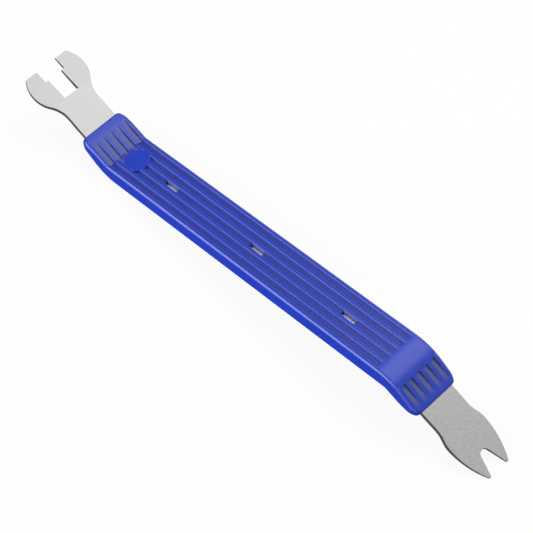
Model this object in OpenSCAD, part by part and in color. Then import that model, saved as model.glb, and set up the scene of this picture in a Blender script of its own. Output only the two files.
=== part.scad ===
// Two-ended trim removal tool: a Z-bent steel strip, forked at one end and notched at the other,
// with a ribbed plastic grip moulded over its middle. It lies as it rests on a bench.

/* [Strip] */
// Width of the steel strip at its necks
blade_w = 19; // [16:0.5:22]
// Thickness of the steel strip
blade_t = 3.2; // [2.4:0.1:3.6]
// Distance between the two bend corners, along the grip
bend_span = 184.6; // [150:0.1:240]
// Angle of each bend
bend_angle = 31.7; // [24:0.1:38]
// Inner radius of each bend
bend_r = 4; // [2:0.5:6]
// How far each side of a neck draws in at the waist, just before the head flares out
waist_in = 0.1; // [0.05:0.05:0.15]
// Radius of the long curve into the waist
waist_r = 200; // [120:10:260]
// Radius of the curves that flare the heads out from the necks
flare_r = 15; // [12:0.5:18]
// Thickness left at the ground tips
tip_t = 1.4; // [1:0.1:2]
// Length of the ground bevel behind each tip
bevel_len = 20; // [14:0.5:24]

/* [Fork] */
// Length of the fork, from the grip to its tips
fork_len = 41; // [38:0.5:48]
// Greatest width across the fork's jaws
fork_w = 31.7; // [29:0.1:34]
// Distance from the tips back to the widest place of the jaws
fork_wide_back = 9.3; // [7:0.1:12]
// Width of the slot behind the step
slot_w = 8.6; // [6:0.1:10]
// Depth of the slot from the tips
slot_depth = 18.9; // [14:0.1:21]
// Width of the slot's mouth, in front of the step
mouth_w = 12; // [10.5:0.1:14]
// Depth of the wider mouth from the tips
mouth_depth = 6.7; // [4:0.1:9]
// Rounding of the jaws' outer corners
jaw_corner_r = 1; // [0.5:0.1:2]

/* [Notch] */
// Length of the notched head, from the grip to its tips
notch_len = 41; // [38:0.5:48]
// Greatest width of the notched head
notch_head_w = 22.1; // [20.5:0.1:24]
// Distance from the tips back to the widest place of the head
notch_wide_back = 20.3; // [18:0.1:23]
// Radius of the long curve from the widest place to the tips
flank_r = 43; // [38:1:50]
// Depth of the notch from the tips
notch_depth = 11.2; // [8:0.1:13]
// Radius of the notch's round bottom
notch_r = 2.4; // [1.8:0.1:2.8]
// Radius of the rounded tips
notch_tip_r = 0.75; // [0.5:0.05:1]

/* [Grip] */
// Width of the grip
grip_w = 25.5; // [24:0.5:30]
// Thickness of the grip's straight run
grip_t = 10.3; // [9.4:0.1:13]
// Rounding of the grip's long edges
edge_r = 1.5; // [1:0.1:1.6]
// Distance from each bend corner to the mouth where the steel comes out
neck_len = 20.1; // [18:0.1:24]
// Plastic over the steel at the mouth
lip_t = 0.92; // [0.8:0.01:1.1]
// How far the grip's nose stands past the mouth
nose_out = 0.6; // [0.4:0.1:1]
// Rounding of the nose's edges
nose_r = 0.6; // [0.4:0.05:0.7]
// Angle at which the ends thin towards the nose
taper = 13.5; // [12:0.5:15]
// Radius of the crown, over the outside of a bend
crown_r = 20; // [17:0.5:22]
// Radius of the hollow, on the inside of a bend
hollow_r = 2; // [1:0.5:4]
// Plastic over the steel on the hollow side, past the bend
hollow_cover = 2.9; // [2.6:0.1:3.4]
// Radius that blends the hollow side into its taper
shoulder_r = 20; // [16:0.5:24]
// Radius of the nose's corners seen from above
corner_r = 8; // [6:0.5:10]
// Length of those corners, back from the nose
corner_len = 5; // [4:0.1:5.8]

/* [Grooves] */
// Number of grooves on each face
groove_n = 5; // [3:2:5]
// Distance between the centres of neighbouring grooves
groove_pitch = 4.53; // [4.2:0.01:4.8]
// Width of a groove's mouth on the straight run
groove_w = 3; // [2.7:0.1:3.3]
// Lean of a groove's walls from upright
groove_lean = 31; // [20:1:35]
// Depth of the grooves on the straight run
groove_depth = 1.1; // [0.8:0.1:1.4]
// How far the grooves run past the middle towards the crown
groove_run = 88; // [70:0.5:89]
// Width of the grooves on the ends, whose walls are upright
end_groove_w = 2.5; // [2.1:0.1:3]
// Length of the short grooves on the crown
crown_groove_len = 12; // [9:0.5:13]
// Distance from the mouth back to where the short grooves run out
crown_groove_back = 1.5; // [1:0.1:2]
// Depth of the short grooves where they start
crown_groove_depth = 1.3; // [0.8:0.1:1.6]
// Plastic left over the steel, under the grooves on the hollow side
hollow_floor = 1.8; // [1.4:0.1:2.2]

/* [Windows and pad] */
// Distance between the windows that show the steel
window_pitch = 59.2; // [50:0.1:64]
// Length of a window
window_len = 8.5; // [5:0.5:12]
// Width of a window
window_w = 2.4; // [1.8:0.1:2.6]
// Radius of the plain round pad on the upper face
pad_r = 6.5; // [5:0.1:8]
// Distance from the middle of the grip to the pad's centre
pad_x = 84; // [74:0.5:84]

/* [Hidden] */
$fn = 96;

// Sides, in points, of a quarter turn on a drawn curve
arc_steps = 24;
// Sides of a rounded long edge
edge_steps = 5;
// Stations of the grip through a bend, from there to the nose, and round the nose's edge
bend_steps = 10;
end_steps = 24;
nose_steps = 4;
// How far a cutter reaches past the surface that it opens
over = 5;
// Distance within which two points of an outline are one
same = 0.001;

half_t = blade_t / 2;
half_w = blade_w / 2;
top = grip_t / 2;
bend_x = bend_span / 2;
// Length of strip between the bend's corner and the start of its curve
bend_run = (bend_r + half_t) * tan(bend_angle / 2);

// Places along a neck, measured from its bend's corner
nose_s = neck_len + nose_out;
fork_tip = neck_len + fork_len;
fork_wide_s = fork_tip - fork_wide_back;
notch_tip = neck_len + notch_len;
notch_wide_s = notch_tip - notch_wide_back;

// A point of a neck, along it and across its thickness, in the grip's side view
function at_neck(s, h) = [
    bend_x + s * cos(bend_angle) + h * sin(bend_angle),
    -s * sin(bend_angle) + h * cos(bend_angle)
];

// Points of an arc from one angle to another
function arc(c, r, from, to, n) = [
    for (i = [0:n])
        let (a = from + (to - from) * i / n)
            c + r * [cos(a), sin(a)]
];
function steps(turn) = max(3, ceil(arc_steps * abs(turn) / 90));
function curve(c, r, from, to) = arc(c, r, from, to, steps(to - from));

// Crown: an arc from the straight run into a taper that ends in the lip over the mouth
lip_h = half_t + lip_t;
crown_turn = bend_angle + taper;
lip_at = at_neck(neck_len, lip_h);
crown_x = lip_at[0] - (top - lip_at[1]) / tan(crown_turn) - crown_r * tan(crown_turn / 2);

// Hollow: a fillet, a run along the strip, then a shoulder into the same taper
hollow_h = half_t + hollow_cover;
function meet_run(h, z) = (z - h * cos(bend_angle)) / sin(bend_angle);
hollow_s = meet_run(hollow_h, top);
hollow_run = hollow_r * tan(bend_angle / 2);
hollow_x = at_neck(hollow_s, -hollow_h)[0] - hollow_run;
shoulder_run = shoulder_r * tan(taper / 2);
shoulder_s = neck_len - (hollow_h - lip_h) / tan(taper) - shoulder_run;

// Rest: the notch's tips and the far crown touch the bench
tip_at = at_neck(notch_tip, half_t - tip_t);
crown_at = [-crown_x, crown_r - top];
to_crown = crown_at - tip_at;
rest_tilt = atan2(to_crown[1], -to_crown[0]) - asin(crown_r / norm(to_crown));
function rest_x(p) = p[0] * cos(rest_tilt) - p[1] * sin(rest_tilt);
function rest_z(p) = p[0] * sin(rest_tilt) + p[1] * cos(rest_tilt);
rest_mid = (rest_x(at_neck(notch_tip, half_t)) - rest_x(at_neck(fork_tip, half_t))) / 2;

// Lays the tool on the bench, centred over the origin
module at_rest() {
    translate([-rest_mid, 0, -rest_z(tip_at)])
        rotate([0, -rest_tilt, 0])
            children();
}

// The tool's two ends are alike by a half turn: 0 is the notched end, 1 the forked end
module half_turn(k) {
    rotate([0, 180 * k, 0])
        children();
}

// Neck frame: X along the neck from its bend's corner, +Z the crown side, -Z the hollow side
module on_neck() {
    translate([bend_x, 0, 0])
        rotate([0, bend_angle, 0])
            children();
}

// Raises a side view, drawn in X and Z, to a width centred on the grip
module across(width) {
    rotate([90, 0, 0])
        linear_extrude(width, center = true)
            children();
}

// The points of an outline without those that repeat where two curves join
function unrepeated(points) = [
    for (i = [0:len(points) - 1])
        if (i == 0 || norm(points[i] - points[i - 1]) > same) points[i]
];

// Upper half of an outline, closed by its mirror image
module mirrored_outline(upper) {
    n = len(upper);
    polygon(unrepeated(concat(upper, [for (i = [n - 1:-1:0]) [upper[i][0], -upper[i][1]]])));
}

// Flare of a head from its neck's waist: a hollow curve that runs into a round one
waist_h = half_w - waist_in;
function flare_turn(wide_h) = acos(1 - (wide_h - waist_h) / (2 * flare_r));
function waist_s(wide_s, wide_h) = wide_s - 2 * flare_r * sin(flare_turn(wide_h));

// Side of a neck and head, from inside the grip to the head's widest place
function flare(wide_s, wide_h) =
    let (
        turn = flare_turn(wide_h),
        start_s = waist_s(wide_s, wide_h),
        neck_turn = asin((start_s - neck_len + over) / waist_r)
    )
    concat(
        curve([start_s, waist_h + waist_r], waist_r, -90 - neck_turn, -90),
        curve([start_s, waist_h + flare_r], flare_r, -90, -90 + turn),
        curve([wide_s, wide_h - flare_r], flare_r, 90 + turn, 90)
    );

// Forked head seen from the crown side, as a flat outline
module fork_outline() {
    jaw_c = [fork_wide_s, fork_w / 2 - flare_r];
    corner_s = fork_tip - jaw_corner_r;
    corner_reach = flare_r - jaw_corner_r;
    corner_h = jaw_c[1] + sqrt(pow(corner_reach, 2) - pow(corner_s - fork_wide_s, 2));
    corner_a = atan2(corner_h - jaw_c[1], corner_s - fork_wide_s);
    mirrored_outline(concat(
        flare(fork_wide_s, fork_w / 2),
        curve(jaw_c, flare_r, 90, corner_a),
        curve([corner_s, corner_h], jaw_corner_r, corner_a, 0),
        [
            [fork_tip, mouth_w / 2],
            [fork_tip - mouth_depth, mouth_w / 2],
            [fork_tip - mouth_depth, slot_w / 2],
            [fork_tip - slot_depth, slot_w / 2]
        ]
    ));
}

// Notched head seen from the crown side, as a flat outline
module notch_outline() {
    flank_c = [notch_wide_s, notch_head_w / 2 - flank_r];
    point_s = notch_tip - notch_tip_r;
    point_reach = flank_r - notch_tip_r;
    point_h = flank_c[1] + sqrt(pow(point_reach, 2) - pow(point_s - notch_wide_s, 2));
    point_a = atan2(point_h - flank_c[1], point_s - notch_wide_s);
    bottom_c = [notch_tip - notch_depth + notch_r, 0];
    to_point = [point_s, point_h] - bottom_c;
    side_a = atan2(to_point[1], to_point[0]) - asin((notch_r + notch_tip_r) / norm(to_point));
    mirrored_outline(concat(
        flare(notch_wide_s, notch_head_w / 2),
        curve(flank_c, flank_r, 90, point_a),
        curve([point_s, point_h], notch_tip_r, point_a, side_a - 90),
        curve(bottom_c, notch_r, side_a + 90, 180)
    ));
}

// Side view of the notched half of the strip, bent once, with its neck ending square
function strip_half(end_s) =
    let (c = [bend_x - bend_run, -bend_r - half_t])
    concat(
        curve(c, bend_r + blade_t, 90, 90 - bend_angle),
        [at_neck(end_s, half_t), at_neck(end_s, -half_t)],
        curve(c, bend_r, 90 - bend_angle, 90)
    );

// Side view of the whole strip, with a length for each neck
module strip_side(notch_end, fork_end) {
    polygon(concat(strip_half(notch_end), [for (p = strip_half(fork_end)) -p]));
}

// What is ground off the hollow side behind a tip, in the neck frame
module grind(tip_s) {
    translate([tip_s - bevel_len, -fork_w, -half_t])
        rotate([0, -atan2(blade_t - tip_t, bevel_len), 0])
            translate([0, 0, -over])
                cube([bevel_len + over, 2 * fork_w, over]);
}

// What is cut away round a head's outline, in the neck frame
module head_trim(tip_s) {
    linear_extrude(grip_t, center = true)
        difference() {
            translate([neck_len, -fork_w])
                square([tip_s + over - neck_len, 2 * fork_w]);
            children();
        }
}

// What is cut away beside the strip, from one neck's waist to the other's
module side_trim() {
    notch_x = at_neck(waist_s(notch_wide_s, notch_head_w / 2), 0)[0];
    fork_x = at_neck(waist_s(fork_wide_s, fork_w / 2), 0)[0];
    for (side = [0, 1])
        mirror([0, side, 0])
            translate([-fork_x, half_w, -bend_x])
                cube([fork_x + notch_x, fork_w, bend_span]);
}

module blade() {
    color("silver")
        at_rest()
            difference() {
                across(fork_w + over)
                    strip_side(notch_tip + over / 2, fork_tip + over / 2);
                side_trim();
                half_turn(0)
                    on_neck() {
                        head_trim(notch_tip)
                            notch_outline();
                        grind(notch_tip);
                    }
                half_turn(1)
                    on_neck() {
                        head_trim(fork_tip)
                            fork_outline();
                        grind(fork_tip);
                    }
            }
}

// How far a rounding of radius r, which starts at a place along a neck, has drawn in at s
function drawn_in(s, start, r) = s > start ? r - sqrt(max(0, pow(r, 2) - pow(s - start, 2))) : 0;
nose_start = nose_s - nose_r;
function nose_in(s) = drawn_in(s, nose_start, nose_r);

// Half width of the grip along a neck: its corners are rounded back from the nose
function end_w(s) = grip_w / 2 - drawn_in(s, nose_s - corner_len, corner_r) - nose_in(s);

// Heights of the crown and of the hollow over the strip's middle, along a neck
crown_c = [crown_x, top - crown_r];
crown_s = (crown_x - bend_x) * cos(bend_angle) - crown_c[1] * sin(bend_angle);
crown_h = (crown_x - bend_x) * sin(bend_angle) + crown_c[1] * cos(bend_angle);
function taper_h(s) = lip_h + (neck_len - s) * tan(taper);
function crown_top(s) =
    s < crown_s + crown_r * sin(taper)
        ? crown_h + sqrt(pow(crown_r, 2) - pow(s - crown_s, 2))
        : taper_h(s);
function hollow_top(s) =
    s < shoulder_s ? hollow_h
        : s < shoulder_s + shoulder_r * sin(taper)
            ? hollow_h - shoulder_r + sqrt(pow(shoulder_r, 2) - pow(s - shoulder_s, 2))
            : taper_h(s);

// Stations of one end, from the straight run to the nose: upper point, lower point, half width
hollow_c = [hollow_x, -top - hollow_r];
bend_stations = [
    for (i = [0:bend_steps])
        let (a = 90 - bend_angle * i / bend_steps, up = [cos(a), sin(a)])
            [crown_c + crown_r * up, hollow_c + hollow_r * up, grip_w / 2]
];
end_places = concat(
    [for (i = [1:end_steps]) crown_s + (nose_start - crown_s) * i / end_steps],
    [for (i = [1:nose_steps]) nose_start + nose_r * sin(90 * i / nose_steps)]
);
end_stations = [
    for (s = end_places)
        [at_neck(s, crown_top(s) - nose_in(s)), at_neck(s, nose_in(s) - hollow_top(s)), end_w(s)]
];
stations = concat(bend_stations, end_stations);
station_n = len(stations);

// The forked end is the notched end after a half turn, so its upper and lower points change places
all_stations = concat(
    [for (i = [station_n - 1:-1:0]) [-stations[i][1], -stations[i][0], stations[i][2]]],
    stations
);

// One rounded rectangle between an upper and a lower point
function ring(t, b, w) =
    let (
        mid = (t + b) / 2,
        high = norm(t - b) / 2,
        up = (t - b) / (2 * high),
        corners = [[1, 1], [-1, 1], [-1, -1], [1, -1]]
    )
    [
        for (q = [0:3])
            for (p = arc([0, 0], edge_r, 90 * q, 90 * q + 90, edge_steps))
                let (
                    y = corners[q][0] * (w - edge_r) + p[0],
                    v = corners[q][1] * (high - edge_r) + p[1]
                )
                    [mid[0] + up[0] * v, y, mid[1] + up[1] * v]
    ];

// The grip before it is grooved: one loft through all the stations
module grip_blank() {
    ring_n = 4 * (edge_steps + 1);
    last = len(all_stations) - 1;
    polyhedron(
        points = [for (s = all_stations) each ring(s[0], s[1], s[2])],
        faces = concat(
            [[for (j = [0:ring_n - 1]) j]],
            [
                for (i = [0:last - 1])
                    for (j = [0:ring_n - 1])
                        let (k = (j + 1) % ring_n, a = i * ring_n, b = a + ring_n)
                            [a + j, b + j, b + k, a + k]
            ],
            [[for (j = [ring_n - 1:-1:0]) last * ring_n + j]]
        )
    );
}

// Copies of a groove cutter, side by side
module groove_row() {
    for (i = [0:groove_n - 1])
        translate([0, (i - (groove_n - 1) / 2) * groove_pitch, 0])
            children();
}

// A groove cutter lofted along a floor line, with walls that lean out to the line above it
module groove_cut(floor_line, upper_line) {
    last = len(floor_line) - 1;
    low = groove_w / 2 - groove_depth * tan(groove_lean);
    high = low + over * tan(groove_lean);
    polyhedron(
        points = [
            for (i = [0:last])
                let (a = floor_line[i], b = upper_line[i])
                    each [
                        [a[0], -low, a[1]],
                        [a[0], low, a[1]],
                        [b[0], high, b[1]],
                        [b[0], -high, b[1]]
                    ]
        ],
        faces = concat(
            [[3, 2, 1, 0]],
            [
                for (i = [0:last - 1])
                    for (j = [0:3])
                        let (k = (j + 1) % 4, a = 4 * i, b = a + 4)
                            [a + k, b + k, b + j, a + j]
            ],
            [[for (j = [0:3]) 4 * last + j]]
        )
    );
}

// Line at height h over the floor of a long groove: along the straight run, then up the hollow
function run_line(h) =
    let (z = top - groove_depth + h, cover = half_t + hollow_floor + h)
        [
            [groove_run, z],
            -at_neck(meet_run(cover, z), -cover),
            -at_neck(nose_s + over, -cover)
        ];

// Grooves of the upper face: from beside the crown along the run, then up the hollow past the nose
module run_grooves() {
    low = run_line(0);
    high = run_line(over);
    groove_row() {
        groove_cut([low[0], low[1]], [high[0], high[1]]);
        across(end_groove_w)
            polygon([low[1], low[2], high[2], high[1]]);
    }
}

// Line at height h over the floor of a short groove, in the neck frame
function crown_line(h) =
    let (
        out_s = neck_len - crown_groove_back,
        head_s = out_s - crown_groove_len,
        head_h = crown_top(head_s) - crown_groove_depth,
        slope = (crown_top(out_s) - head_h) / crown_groove_len,
        past_nose = nose_s + over
    )
        [
            [past_nose, head_h + slope * (past_nose - head_s) + h],
            [head_s, head_h + h]
        ];

// Short grooves on the crown of one end, in the neck frame: their floors rise to the surface
module crown_grooves() {
    low = crown_line(0);
    high = crown_line(over);
    groove_row()
        across(end_groove_w)
            polygon([low[0], low[1], high[1], high[0]]);
}

// Windows in the middle groove, down to the steel
module windows() {
    for (i = [-1:1])
        translate([i * window_pitch - window_len / 2, -window_w / 2, 0])
            cube([window_len, window_w, top + over]);
}

module handle() {
    color("royalblue")
        at_rest()
            difference() {
                grip_blank();
                for (k = [0, 1])
                    half_turn(k) {
                        on_neck()
                            crown_grooves();
                        windows();
                    }
                difference() {
                    run_grooves();
                    translate([-pad_x, 0, 0])
                        cylinder(r = pad_r, h = top + 2 * over);
                }
                half_turn(1)
                    run_grooves();
                across(blade_w)
                    strip_side(nose_s + over, nose_s + over);
            }
}

blade();
handle();
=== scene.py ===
import math

import bmesh
import bpy
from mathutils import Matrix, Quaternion, Vector
from mathutils.bvhtree import BVHTree
from mathutils.geometry import intersect_point_line


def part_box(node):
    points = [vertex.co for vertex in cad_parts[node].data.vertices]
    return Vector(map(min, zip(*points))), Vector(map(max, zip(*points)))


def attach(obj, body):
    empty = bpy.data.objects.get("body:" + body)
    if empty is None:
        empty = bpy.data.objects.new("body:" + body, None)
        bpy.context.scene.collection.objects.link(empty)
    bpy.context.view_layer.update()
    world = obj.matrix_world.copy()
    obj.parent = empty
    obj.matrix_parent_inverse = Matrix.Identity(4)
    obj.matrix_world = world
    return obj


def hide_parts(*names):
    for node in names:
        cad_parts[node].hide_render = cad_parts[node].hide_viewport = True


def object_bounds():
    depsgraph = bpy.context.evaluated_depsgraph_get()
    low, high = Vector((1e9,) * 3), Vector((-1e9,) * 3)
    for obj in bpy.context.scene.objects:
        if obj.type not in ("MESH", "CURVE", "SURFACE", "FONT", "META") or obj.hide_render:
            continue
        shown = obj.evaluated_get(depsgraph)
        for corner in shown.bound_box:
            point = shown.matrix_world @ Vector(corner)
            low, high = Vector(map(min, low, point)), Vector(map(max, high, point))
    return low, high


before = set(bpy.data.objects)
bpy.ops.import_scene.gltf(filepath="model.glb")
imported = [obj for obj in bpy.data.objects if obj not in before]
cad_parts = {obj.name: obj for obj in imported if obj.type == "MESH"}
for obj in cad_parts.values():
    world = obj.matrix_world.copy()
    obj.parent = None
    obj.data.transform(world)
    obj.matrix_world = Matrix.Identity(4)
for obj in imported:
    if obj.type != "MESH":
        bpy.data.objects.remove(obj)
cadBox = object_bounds()
mm = 0.001
print("frame loaded:", sorted(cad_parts))


# Colours are written as sRGB hex and used as linear
def linear(hexColour):
    def one(pair):
        c = int(pair, 16) / 255
        return c / 12.92 if c <= 0.04045 else ((c + 0.055) / 1.055) ** 2.4
    return tuple(one(hexColour[i:i + 2]) for i in (1, 3, 5)) + (1.0,)


# Adds a node, sets its properties and sockets, and links it from other nodes' outputs
def add(tree, kind, links=None, sockets=None, **settings):
    node = tree.nodes.new("ShaderNode" + kind)
    for name, value in settings.items():
        setattr(node, name, value)
    for name, value in (sockets or {}).items():
        node.inputs[name].default_value = value
    for name, output in (links or {}).items():
        tree.links.new(output, node.inputs[name])
    return node


def newMaterial(name):
    made = bpy.data.materials.new(name)
    made.use_nodes = True
    tree = made.node_tree
    return made, tree, tree.nodes["Principled BSDF"]


# Colour and roughness between a look's two ends, by a noise with patches of a real size
noise = {"detail": 2.0, "low": 0.3, "high": 0.7}  # low and high: what the noise mostly stays between


def mottled(tree, place, look):
    patches = add(tree, "TexNoise", {"Vector": place},
                  {"Scale": 1 / look["patch"], "Detail": noise["detail"]})
    spread = add(tree, "MapRange", {"Value": patches.outputs["Fac"]},
                 {"From Min": noise["low"], "From Max": noise["high"]})
    grain = spread.outputs["Result"]
    tone = add(tree, "Mix", {"Factor": grain}, {"A": linear(look["dark"]), "B": linear(look["light"])},
               data_type="RGBA")
    rough = add(tree, "MapRange", {"Value": grain},
                {"To Min": look["roughness"][0], "To Max": look["roughness"][1]})
    return tone.outputs["Result"], rough.outputs["Result"], grain


# A material with one look, or with a second that the piece's own attribute mixes in
def finish(name, look, second=None, share=None):
    made, tree, shader = newMaterial(name)
    place = add(tree, "TexCoord").outputs["Object"]
    tone, rough, grain = mottled(tree, place, look)
    if second:
        part = add(tree, "Attribute", attribute_name=share).outputs["Fac"]
        secondTone, secondRough, grain = mottled(tree, place, second)
        tone = add(tree, "Mix", {"Factor": part, "A": tone, "B": secondTone},
                   data_type="RGBA").outputs["Result"]
        rough = add(tree, "Mix", {"Factor": part, "A": rough, "B": secondRough}).outputs["Result"]
    bump = add(tree, "Bump", {"Height": grain}, {"Strength": look["bump"], "Distance": look["pit"]})
    tree.links.new(tone, shader.inputs["Base Color"])
    tree.links.new(rough, shader.inputs["Roughness"])
    tree.links.new(bump.outputs["Normal"], shader.inputs["Normal"])
    for socket, value in look["constants"].items():
        shader.inputs[socket].default_value = value
    return made


# Spring steel, grit blasted: grey, finely speckled, with a soft sheen that shows no lines
# The grit's pits are about 0.1 mm, drawn eight times as coarse so that they show
blasted = {"dark": "#838384", "light": "#949494", "patch": 0.8 * mm, "roughness": (0.44, 0.52),
           "bump": 0.15, "pit": 0.03 * mm, "constants": {"Metallic": 1.0}}

# Sheared edge of the same steel, drawn dark as painted shade, and less even than the faces
shadedEdge = {"dark": "#2b2b29", "light": "#41413f", "patch": 0.5 * mm, "roughness": (0.45, 0.6),
           "bump": 0.3, "pit": 0.05 * mm, "constants": {"Metallic": 1.0}}

# The same steel inside the grip, which kept the grit off: unblasted steel is brighter, and its
# near-white colour adds a painted highlight for the light it reflects in the windows
rolledHighlight = {"dark": "#dcdcdc", "light": "#e6e6e6", "patch": 0.8 * mm, "roughness": (0.58, 0.66),
          "bump": 0.1, "pit": 0.02 * mm, "constants": {"Metallic": 1.0}}

# ABS moulded in a fine-textured tool: deep blue right through, with a satin sheen on its faces
# The tool's texture is about 0.1 mm, drawn four or five times as coarse so that it shows
satin = {"dark": "#002eae", "light": "#0532b4", "patch": 0.5 * mm, "roughness": (0.28, 0.34),
         "bump": 0.1, "pit": 0.02 * mm, "constants": {"Specular IOR Level": 0.34}}

# The same ABS on the upright sides and the noses, where a coarser texture leaves it matt
matt = {"dark": "#1b37b4", "light": "#213cbc", "patch": 0.5 * mm, "roughness": (0.6, 0.7),
        "bump": 0.1, "pit": 0.03 * mm, "constants": {"Specular IOR Level": 0.02}}

# The same ABS on the grooves' floors, spark eroded in the tool and rougher than the ridges; its darker,
# greyer colour is painted shade and painted sheen
erodedShadeSheen = {"dark": "#1a2d8b", "light": "#223595", "patch": 0.4 * mm, "roughness": (0.38, 0.46)}

# The same ABS on the floors of the end grooves, greyer still: a painted sheen for the light that the
# tilted ends reflect
greySheen = {"dark": "#4f5795", "light": "#58609e", "patch": 0.4 * mm, "roughness": (0.38, 0.46)}

# The same ABS on the rounded long edges, which hands have burnished until they shine
burnished = {"dark": "#002eae", "light": "#0532b4", "patch": 0.5 * mm, "roughness": (0.24, 0.3),
             "bump": 0.05, "pit": 0.02 * mm, "constants": {"Specular IOR Level": 1.0}}

# The same ABS on the grooves' walls and the edges above them, with a soft sheen; their paler colour is a
# painted highlight
paintedHighlight = {"dark": "#2d41aa", "light": "#3245b0", "patch": 0.5 * mm, "roughness": (0.32, 0.38),
          "bump": 0.1, "pit": 0.02 * mm, "constants": {"Specular IOR Level": 0.6}}

# The same ABS on the windows' walls, where the tool's pins were drawn out, drawn pale as painted light
# on walls that lie in shade
windowLight = {"dark": "#8a92cc", "light": "#949cd4", "patch": 0.5 * mm, "roughness": (0.4, 0.5),
            "bump": 0.1, "pit": 0.02 * mm, "constants": {"Specular IOR Level": 0.3}}


# Distance from a point to an edge
def offEdge(point, edge):
    start, end = (v.co for v in edge.verts)
    along = intersect_point_line(point, start, end)[1]
    return (start.lerp(end, min(1, max(0, along))) - point).length


def direction(edge):
    return (edge.verts[1].co - edge.verts[0].co).normalized()


# Whether two edges run side by side, rather than one beyond the other's end
def sideBySide(edge, other, alongside):
    overlap = 0.001  # the least overlap that counts, as a share of the edge
    start, end = (v.co for v in edge.verts)
    along = [intersect_point_line(v.co, start, end)[1] for v in other.verts]
    parallel = abs(direction(other).dot(direction(edge))) > alongside
    return parallel and max(along) > overlap and min(along) < 1 - overlap


# How far an edge is from the nearest sharp edge of its faces that runs beside it without touching it
def roomBeside(edge, sharp, alongside):
    beside = {e for face in edge.link_faces for e in face.edges if e in sharp}
    apart = [e for e in beside if not set(e.verts) & set(edge.verts) and sideBySide(edge, e, alongside)]
    gaps = [offEdge(v.co, edge) for e in apart for v in e.verts]
    gaps += [offEdge(v.co, e) for e in apart for v in edge.verts]
    return min(gaps, default=math.inf)


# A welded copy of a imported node, with its outer sharp edges eased where there is room
# The faces of the eased edges come with it
def easedCopy(node, name, settings):
    bm = bmesh.new()
    bm.from_mesh(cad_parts[node].data)
    bmesh.ops.remove_doubles(bm, verts=bm.verts, dist=settings["weld"])
    bmesh.ops.dissolve_limit(bm, angle_limit=math.radians(settings["flat"]),
                             verts=bm.verts, edges=bm.edges)
    sharp = {e for e in bm.edges
             if e.is_manifold and e.calc_face_angle() > math.radians(settings["sharp"])}
    room = settings["room"] * settings["ease"]
    eased = [e for e in bm.edges if e in sharp and e.is_convex
             and roomBeside(e, sharp, settings["alongside"]) > room]
    made = bmesh.ops.bevel(bm, geom=eased, offset=settings["ease"], offset_type="OFFSET",
                           segments=settings["steps"], profile=0.5, affect="EDGES",
                           clamp_overlap=False, material=-1)
    print(name, "sharp edges:", len(sharp), "eased:", len(eased))
    return bm, set(made["faces"])


# Makes a piece of an eased copy, with one of its finishes on each face
def finishPiece(bm, node, name, settings, finishes, whichFinish):
    bm.normal_update()
    for face in bm.faces:
        face.smooth = True
        face.material_index = whichFinish(face)
    for edge in bm.edges:
        edge.smooth = edge.calc_face_angle(0) < math.radians(settings["crease"])
    mesh = bpy.data.meshes.new(name)
    bm.to_mesh(mesh)
    bm.free()
    for made in finishes:
        mesh.materials.append(made)
    piece = bpy.data.objects.new(name, mesh)
    bpy.context.scene.collection.objects.link(piece)
    flatten = piece.modifiers.new("flat faces stay flat", "WEIGHTED_NORMAL")
    flatten.keep_sharp = True
    flatten.weight = 100  # the largest face at a point sets its shading
    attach(piece, "root")
    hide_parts(node)
    print(name, "faces:", len(mesh.polygons))


# Steel strip: a spring-steel bar bent into a shallow Z, drawn bright inside the grip by a painted
# highlight, with painted shade on its sheared edges
strip = {
    "weld": 0.002 * mm,  # points closer than this become one
    "flat": 0.5,  # degrees: faces that turn less become one
    "sharp": 40,  # degrees: edges that turn more are eased
    "ease": 0.15 * mm,  # how far an eased edge is cut back on either side
    "steps": 2,  # faces across an eased edge
    "room": 2.2,  # times ease, the room beside it that an eased edge needs
    "alongside": 0.9,  # cosine of the most that edges side by side may turn apart
    "crease": 35,  # degrees: edges that turn more are shaded sharp
    "wallLean": 45,  # degrees from level: faces that lean more were sheared, and are drawn dark as painted shade
    "runLean": 12,  # degrees from level: faces that lean less run through the grip, and are drawn bright with a painted highlight
}
stripMesh = easedCopy("blade", "steel_strip", strip)[0]
blastedFace, shadedEdgeFace, rolledHighlightFace = range(3)  # in the order of the finishes below


# Edge faces get the sheared finish's painted shade; faces in the grip get the rolled finish's painted
# highlight
def stripFinish(face):
    lean = math.degrees(math.acos(min(1, abs(face.normal.z))))
    if lean > strip["wallLean"]:
        return shadedEdgeFace
    return rolledHighlightFace if lean < strip["runLean"] else blastedFace


finishPiece(stripMesh, "blade", "steel_strip", strip,
            [finish("grit_blasted_spring_steel", blasted), finish("shade_painted_spring_steel_edge", shadedEdge),
             finish("highlight_painted_rolled_spring_steel", rolledHighlight)], stripFinish)

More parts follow.
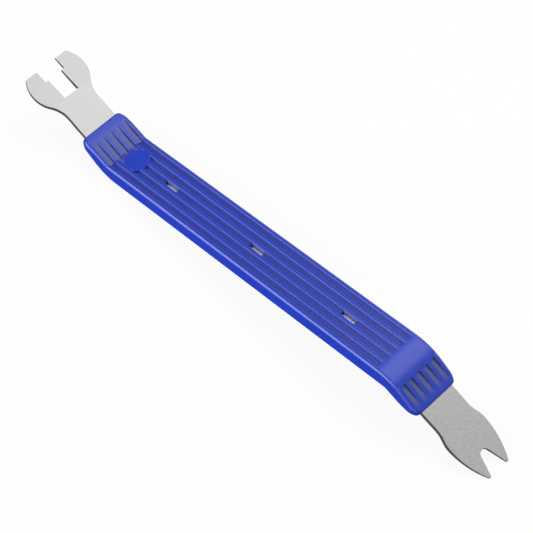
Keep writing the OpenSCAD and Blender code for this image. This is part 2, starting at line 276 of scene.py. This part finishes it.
# Grip: moulded over the strip, with grooves along it, windows to the steel and a nose at either end
grip = {
    "weld": 0.002 * mm,  # points closer than this become one
    "flat": 0.5,  # degrees: faces that turn less become one
    "sharp": 35,  # degrees: edges that turn more are eased
    "ease": 0.22 * mm,  # how far an eased edge is cut back on either side
    "steps": 3,  # faces across an eased edge
    "room": 1.5,  # times ease, the room beside it that an eased edge needs
    "alongside": 0.9,  # cosine of the most that edges side by side may turn apart
    "crease": 30,  # degrees: edges that turn more are shaded sharp
    "sideLean": 18,  # degrees from upright: side faces that lean less are matt
    "edgeIn": 1.5 * mm,  # how far in from the sides the rounded long edges begin
    "edgeTurn": 9,  # degrees: edges that turn less to a side stay satin
    "probe": 0.15 * mm,  # how far over a face a groove's walls are looked for
    "grooveWidth": 3.4 * mm,  # the furthest that a groove's wall can be
    "floorTurn": 20,  # degrees: grooves' floors turn less to a side, and their walls more
    "runOut": 40,  # length in which a floor's painted shade and sheen fade in from where it runs out
    "fade": 3.5 * mm,  # length in which a floor turns grey from where it runs out
    "endLength": 23 * mm,  # length of the ends, whose grooves carry a greyer painted sheen
    "noseLength": 4.5 * mm,  # length of the noses, which are matt
    "noseTurn": 25,  # degrees: a nose's faces turn more to the neck's line
    "neckLean": 25.2,  # degrees: how steeply both necks go down towards +X
    "windowIn": 2 * mm,  # the furthest that a window's wall is from the middle
    "windowTurn": 80,  # degrees: windows' walls turn more to a side
}
gripMesh, gripEased = easedCopy("handle", "moulded_grip", grip)
# In the order of the finishes below
satinFace, mattFace, burnishedFace, greySheenFace, paintedHighlightFace, windowLightFace = range(6)


# How much of a face's normal points to a side, when the face turns that many degrees to it
def turned(degrees):
    return math.sin(math.radians(degrees))


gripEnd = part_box("handle")[1]
sideIn = gripEnd.y - grip["edgeIn"]
endOut = gripEnd.x - grip["endLength"]
noseFrom = gripEnd.x - grip["noseLength"]
neckLean = math.radians(grip["neckLean"])
alongNeck = Vector((math.cos(neckLean), 0, -math.sin(neckLean)))
gripTree = BVHTree.FromBMesh(gripMesh)


# A face in a groove has a wall close by on either hand
def inGroove(face):
    over = face.calc_center_median_weighted() + face.normal * grip["probe"]
    return all(gripTree.ray_cast(over, (0, way, 0), grip["grooveWidth"])[0] for way in (-1, 1))


sunk = {face for face in gripMesh.faces if inGroove(face)}
print("faces in grooves:", len(sunk))


# Whether a groove's floor comes out at the surface at one of its points
def runsOut(vert, floorFace):
    level = math.cos(math.radians(grip["runOut"]))
    return any(f not in sunk and f.normal.dot(floorFace.normal) > level for f in vert.link_faces)


# The grooves' floors carry an attribute that mixes in their painted shade and sheen, and lose it towards
# where they run out
groove = gripMesh.verts.layers.float.new("groove")
for face in gripMesh.faces:
    if face in sunk and abs(face.normal.y) < turned(grip["floorTurn"]):
        outs = [vert.co for vert in face.verts if runsOut(vert, face)]
        for vert in face.verts:
            away = min((abs(vert.co.x - out.x) for out in outs), default=grip["fade"])
            vert[groove] = max(vert[groove], away / grip["fade"])


def gripFinish(face):
    out = abs(face.normal.y)
    middle = face.calc_center_median_weighted()
    ahead = math.copysign(1, middle.x) * face.normal.dot(alongNeck)
    inEnds = abs(middle.x) > endOut
    if abs(middle.x) > noseFrom and ahead > turned(grip["noseTurn"]):
        return mattFace
    if abs(middle.y) > sideIn and out > turned(grip["edgeTurn"]):
        return mattFace if abs(face.normal.z) < turned(grip["sideLean"]) else burnishedFace
    # The windows' walls get painted light
    if not inEnds and abs(middle.y) < grip["windowIn"] and out > turned(grip["windowTurn"]):
        return windowLightFace
    # Eased edges and the grooves' walls that turn to a side get a painted highlight
    if face in gripEased and out > turned(grip["edgeTurn"]):
        return paintedHighlightFace
    # Faces in the end grooves get a painted sheen
    if face in sunk and inEnds:
        return greySheenFace
    return paintedHighlightFace if face in sunk and out > turned(grip["floorTurn"]) else satinFace


# The satin finish mixes in the grooves' painted shade and sheen, where the groove attribute sets it
finishPiece(gripMesh, "handle", "moulded_grip", grip,
            [finish("satin_blue_abs_painted_groove_shade", satin, erodedShadeSheen, "groove"), finish("matt_blue_abs", matt),
             finish("burnished_blue_abs", burnished), finish("painted_sheen_grey_blue_abs", satin, greySheen, "groove"),
             finish("painted_highlight_blue_abs", paintedHighlight), finish("painted_light_window_wall_blue_abs", windowLight)], gripFinish)


# White where the camera or a reflection sees it
def seenWhite(tree):
    path = add(tree, "LightPath")
    mirrored = add(tree, "Math",
                   {0: path.outputs["Is Glossy Ray"], 1: path.outputs["Is Transmission Ray"]},
                   operation="MAXIMUM")
    return add(tree, "Math", {0: path.outputs["Is Camera Ray"], 1: mirrored.outputs[0]},
               operation="MAXIMUM").outputs[0]


# Floor: pale, white to the camera, with a share of real light that keeps a faint shadow
floorLook = {"size": 6.0, "white": 0.92, "colour": "#f8f8f8", "drop": 0.05 * mm}
floorPaint, floorTree, plainShader = newMaterial("pale_studio_floor")
floorTree.nodes.remove(plainShader)
share = add(floorTree, "Math", {0: seenWhite(floorTree)}, {1: floorLook["white"]}, operation="MULTIPLY")
lit = add(floorTree, "BsdfDiffuse", sockets={"Color": linear(floorLook["colour"])})
glow = add(floorTree, "Emission", sockets={"Color": (1, 1, 1, 1), "Strength": 1.0})
mixed = add(floorTree, "MixShader", {"Fac": share.outputs[0], 1: lit.outputs[0], 2: glow.outputs[0]})
floorTree.links.new(mixed.outputs[0], floorTree.nodes["Material Output"].inputs["Surface"])

bm = bmesh.new()
bmesh.ops.create_grid(bm, x_segments=1, y_segments=1, size=floorLook["size"])
floorMesh = bpy.data.meshes.new("floor")
bm.to_mesh(floorMesh)
bm.free()
floorMesh.materials.append(floorPaint)
floor = bpy.data.objects.new("floor", floorMesh)
floor.location.z = cadBox[0].z - floorLook["drop"]
bpy.context.scene.collection.objects.link(floor)
print("floor laid")

# World: even soft light, white where it is seen
worldLight = 0.24
world = bpy.data.worlds.new("studio")
bpy.context.scene.world = world
world.use_nodes = True
worldTree = world.node_tree
brightness = add(worldTree, "MapRange", {"Value": seenWhite(worldTree)},
                 {"To Min": worldLight, "To Max": 1.0})
background = worldTree.nodes["Background"]
background.inputs["Color"].default_value = (1, 1, 1, 1)
worldTree.links.new(brightness.outputs["Result"], background.inputs["Strength"])

# Softboxes: where each stands, what it faces and its size, in metres, and its power in watts
softboxes = {
    "over_the_grip": {
        "at": (0.02, 0.2, 0.52), "towards": (0.02, 0, 0.015), "size": (0.51, 0.3), "power": 1.95},
    "low_on_the_left": {
        "at": (-0.6, -1.3, 0.6), "towards": (0, 0, 0.015), "size": (2.0, 1.0), "power": 20},
    "behind_on_the_right": {
        "at": (0.85, 0.6, 0.7), "towards": (0, 0, 0.015), "size": (0.6, 0.6), "power": 1.6},
}
for name, box in softboxes.items():
    light = bpy.data.lights.new(name, "AREA")
    light.shape = "RECTANGLE"
    light.size, light.size_y = box["size"]
    light.energy = box["power"]
    lamp = bpy.data.objects.new(name, light)
    lamp.location = box["at"]
    facing = Vector(box["towards"]) - Vector(box["at"])
    lamp.rotation_euler = facing.to_track_quat("-Z", "Y").to_euler()
    bpy.context.scene.collection.objects.link(lamp)
print("softboxes:", sorted(softboxes))

# Camera: where the photograph was taken from, in metres and degrees, with lens and sensor in millimetres
cameraView = {"target": (7.4 * mm, -1.7 * mm, 15.3 * mm), "distance": 810 * mm, "azimuth": -37.88,
              "elevation": 56.94, "roll": -7.65, "lens": 119.96, "sensor": 36}
around = math.radians(cameraView["azimuth"])
above = math.radians(cameraView["elevation"])
back = Vector((math.cos(around) * math.cos(above), math.sin(around) * math.cos(above), math.sin(above)))
cameraData = bpy.data.cameras.new("camera")
cameraData.lens = cameraView["lens"]
cameraData.sensor_width = cameraView["sensor"]
camera = bpy.data.objects.new("camera", cameraData)
camera.location = Vector(cameraView["target"]) + back * cameraView["distance"]
upright = (-back).to_track_quat("-Z", "Y")
camera.rotation_mode = "QUATERNION"
camera.rotation_quaternion = upright @ Quaternion((0, 0, 1), math.radians(cameraView["roll"]))
bpy.context.scene.collection.objects.link(camera)
bpy.context.scene.camera = camera
print("camera set")

bpy.context.scene.view_settings.view_transform = "Standard"
